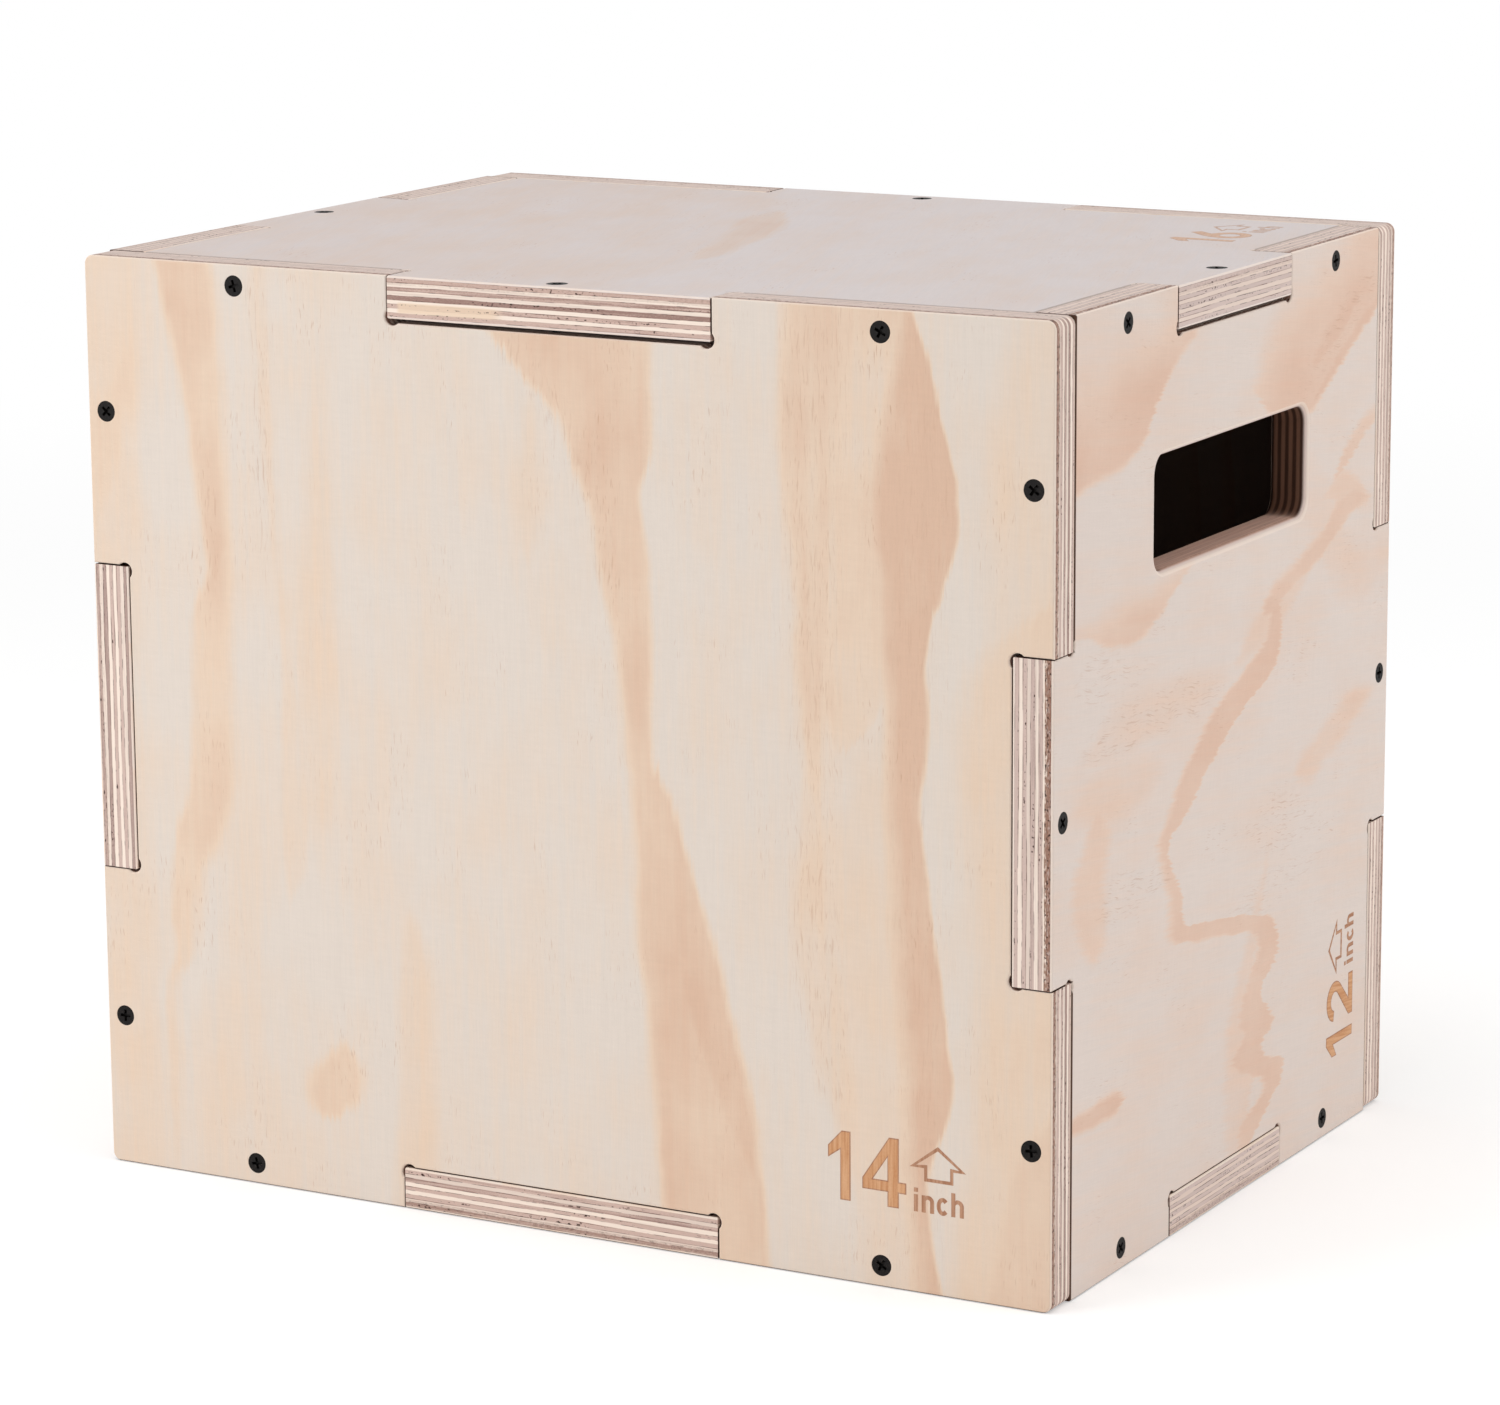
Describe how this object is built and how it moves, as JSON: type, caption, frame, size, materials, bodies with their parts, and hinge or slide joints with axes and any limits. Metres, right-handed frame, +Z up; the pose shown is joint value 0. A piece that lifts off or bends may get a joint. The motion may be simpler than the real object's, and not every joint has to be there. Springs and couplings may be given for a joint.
{
  "type": "plyo box",
  "caption": "Plywood jump box of finger-jointed panels held by countersunk screws, with a hand slot in each end; it is turned onto another face for another step height.",
  "frame": {"origin": "middle of the base, on the floor", "axes": "+Z is up, +X runs along the width to the face with the hand slot on the right, -Y faces the front"},
  "size_m": [0.4064, 0.3048, 0.3556],
  "materials": {
    "plywood": "sanded, unvarnished",
    "screw_black": "satin black"
  },
  "bodies": {
    "root": {"back_panel": "plywood", "back_screw_bottom_left": "screw_black", "back_screw_bottom_right": "screw_black", "back_screw_left_bottom": "screw_black", "back_screw_left_top": "screw_black", "back_screw_right_bottom": "screw_black", "back_screw_right_top": "screw_black", "back_screw_top_left": "screw_black", "back_screw_top_right": "screw_black", "bottom_panel": "plywood", "bottom_screw_back": "screw_black", "bottom_screw_front": "screw_black", "bottom_screw_left": "screw_black", "bottom_screw_right": "screw_black", "front_panel": "plywood", "front_screw_bottom_left": "screw_black", "front_screw_bottom_right": "screw_black", "front_screw_left_bottom": "screw_black", "front_screw_left_top": "screw_black", "front_screw_right_bottom": "screw_black", "front_screw_right_top": "screw_black", "front_screw_top_left": "screw_black", "front_screw_top_right": "screw_black", "left_panel": "plywood", "left_screw_back": "screw_black", "left_screw_bottom_back": "screw_black", "left_screw_bottom_front": "screw_black", "left_screw_front": "screw_black", "left_screw_top_back": "screw_black", "left_screw_top_front": "screw_black", "right_panel": "plywood", "right_screw_back": "screw_black", "right_screw_bottom_back": "screw_black", "right_screw_bottom_front": "screw_black", "right_screw_front": "screw_black", "right_screw_top_back": "screw_black", "right_screw_top_front": "screw_black", "top_panel": "plywood", "top_screw_back": "screw_black", "top_screw_front": "screw_black", "top_screw_left": "screw_black", "top_screw_right": "screw_black"}
  },
  "joints": []
}
